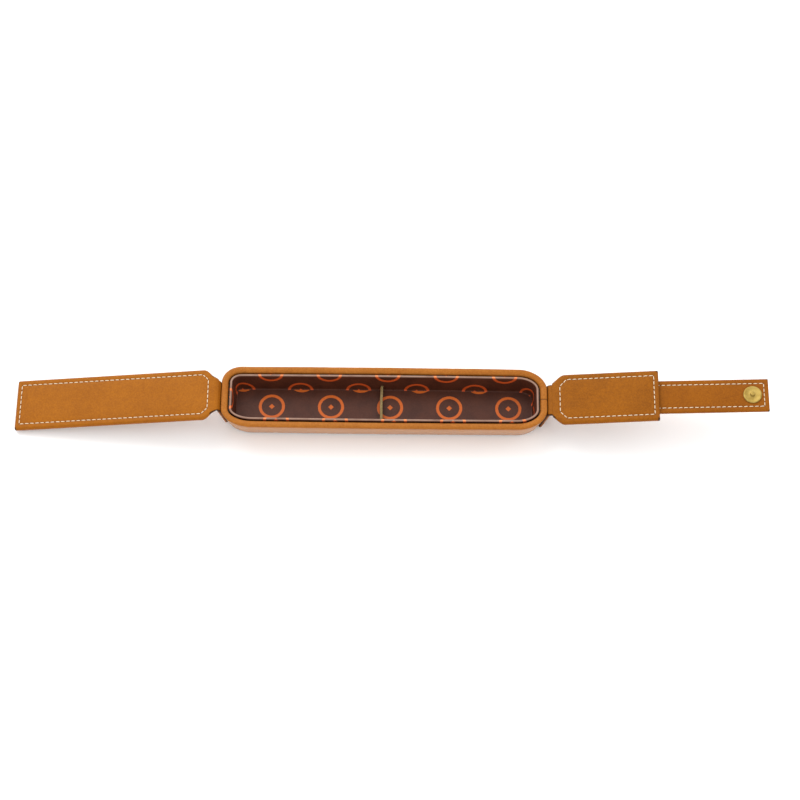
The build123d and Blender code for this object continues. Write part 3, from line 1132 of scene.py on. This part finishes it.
longStitches = stitchPiece("longFlapStitches", -1, longFlap["seam"], flapSurface(longFlap), (1, -1))
finishPiece(longStitches, creamThread, "long_flap", ["left_flap_thread"])
shortStitches = stitchPiece("shortFlapStitches", 1, shortFlap["seam"], flapSurface(shortFlap), (1, -1))
finishPiece(shortStitches, creamThread, "short_flap", ["right_flap_thread"])
strapStitches = stitchPiece("strapStitches", 1, strap["seam"], strapSurface, (1, -1))
finishPiece(strapStitches, creamThread, None, ["strap_thread"])
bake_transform(strapStitches)
print("stitches laid")


# (radius, height) profiles of the two halves
snap = {
    "stud": [(0.05, 1.84), (0.6, 1.86), (1.0, 1.78), (1.22, 1.55), (1.3, 1.2), (1.3, 0.86), (1.42, 0.74),
             (1.7, 0.7), (2.6, 0.72), (3.5, 0.76), (4.0, 0.84), (4.35, 0.9), (4.65, 0.86), (4.88, 0.68),
             (5.0, 0.42), (5.0, 0.15), (4.9, 0.0)],
    "socket": [(0.05, 0.5), (1.3, 0.5), (1.5, 0.6), (1.56, 0.8), (1.56, 1.3), (1.66, 1.5), (1.9, 1.6),
               (2.3, 1.6), (2.6, 1.5), (3.4, 1.46), (4.0, 1.5), (4.5, 1.44), (4.85, 1.2), (5.0, 0.8),
               (5.0, 0.1), (4.95, 0.0)],
    "reach": 49.3,  # from the strap's root to the stud
    "socketDeep": 2.2,  # the socket's middle, from the flap's mid thickness
}

studPlace, studWay = strapPlace(snap["reach"], 2 * strap["thick"])
studPiece = turnedPiece("snapStud", snap["stud"], (studPlace[0], 0, studPlace[1]), (-studWay[1], 0, studWay[0]))
finishPiece(studPiece, scuffedBrass, "strap", ["snap_stud_plate", "snap_stud_post"])

cupLow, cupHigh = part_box("snap_socket_cup")
longWay = (math.cos(longFlap["lean"]), math.sin(longFlap["lean"]))
cupOut = -(cupLow[0] + cupHigh[0]) / 2 / mm
cupAlong = (cupOut - longFlap["turn"][0] - snap["socketDeep"] * longWay[1]) / longWay[0]
cupPlace = planePlace(longFlap, cupAlong, -longFlap["thick"])
socketPiece = turnedPiece("snapSocket", snap["socket"], (-cupPlace[0], 0, cupPlace[1]),
                          (-longWay[1], 0, -longWay[0]))
finishPiece(socketPiece, scuffedBrass, "long_flap", ["snap_socket_cup"])
print("snap built")


# finishes on the pieces inside
inside = {
    pressedBoard: ["base_board", "tray_floor_board", "left_flap_board", "right_flap_board"],
    cottonTape: ["left_hinge_tape", "right_hinge_tape"],
    zincSteel: ["snap_stud_washer", "snap_socket_washer"],
    pressedMagnet: ["snap_socket_magnet"],
}
for material, names in inside.items():
    for name in names:
        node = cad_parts[name]
        if node.material_slots:
            for materialSlot in node.material_slots:
                materialSlot.material = material
        else:
            node.data.materials.append(material)


print("inside finished")


studio = {
    "floor": ((0.94, 0.94, 0.94, 1.0), (0.92, 0.92, 0.93, 1.0)),
    "world": 1.1,
    # place, size and power of each softbox, in metres and watts
    "keySoftbox": ((-0.45, 0.85, 0.95), (1.1, 0.9), 11.5),
    "fillSoftbox": ((0.9, 0.2, 1.0), (1.0, 1.0), 3.0),
    "frontSoftbox": ((0.0, -1.2, 0.7), (1.4, 0.7), 3.0),
}

bpy.ops.mesh.primitive_plane_add(size=6, location=(0, 0, -0.0002))
floor = bpy.context.object
floor.name = "studioFloor"
floorShader = Shader("palePaper")
floorPlace = floorShader.node("ShaderNodeTexCoord", {}, {}, 3)
floorTone = floorShader.noise(floorPlace, 2.0)
floor.data.materials.append(floorShader.finish(
    color=floorShader.mix(floorTone * 0.02, *studio["floor"]), rough=0.95))


def softbox(name):
    # a rectangle of light that faces the tray
    place, size, power = studio[name]
    data = bpy.data.lights.new(name, "AREA")
    data.shape = "RECTANGLE"
    data.size, data.size_y = size
    data.energy = power
    light = bpy.data.objects.new(name, data)
    bpy.context.collection.objects.link(light)
    light.location = place
    light.rotation_euler = (-Vector(place)).to_track_quat("-Z", "Y").to_euler()


for name in ("keySoftbox", "fillSoftbox", "frontSoftbox"):
    softbox(name)
world = bpy.data.worlds.new("studioWorld")
world.use_nodes = True
world.node_tree.nodes["Background"].inputs["Color"].default_value = (1, 1, 1, 1)
world.node_tree.nodes["Background"].inputs["Strength"].default_value = studio["world"]
bpy.context.scene.world = world
bpy.context.scene.view_settings.view_transform = "Standard"

camera = {
    "lens": 99.0,
    "tilt": math.radians(25),  # away from straight down, towards the front
    "roll": math.radians(0.603),
    "distance": 1192.3,  # millimetres, from the target
    "target": (8.55, 2.79, 9.0),
}
view = bpy.data.cameras.new("viewCamera")
view.lens = camera["lens"]
view.sensor_width = 36.0
viewer = bpy.data.objects.new("viewCamera", view)
bpy.context.collection.objects.link(viewer)
back = Vector((0, -math.sin(camera["tilt"]), math.cos(camera["tilt"])))
level = Vector((1, 0, 0))
rise = back.cross(level)
right = level * math.cos(camera["roll"]) + rise * math.sin(camera["roll"])
up = back.cross(right)
turn = Matrix((right, up, back)).transposed().to_4x4()
viewer.matrix_world = Matrix.Translation((Vector(camera["target"]) + back * camera["distance"]) * mm) @ turn
bpy.context.scene.camera = viewer
print("studio set")
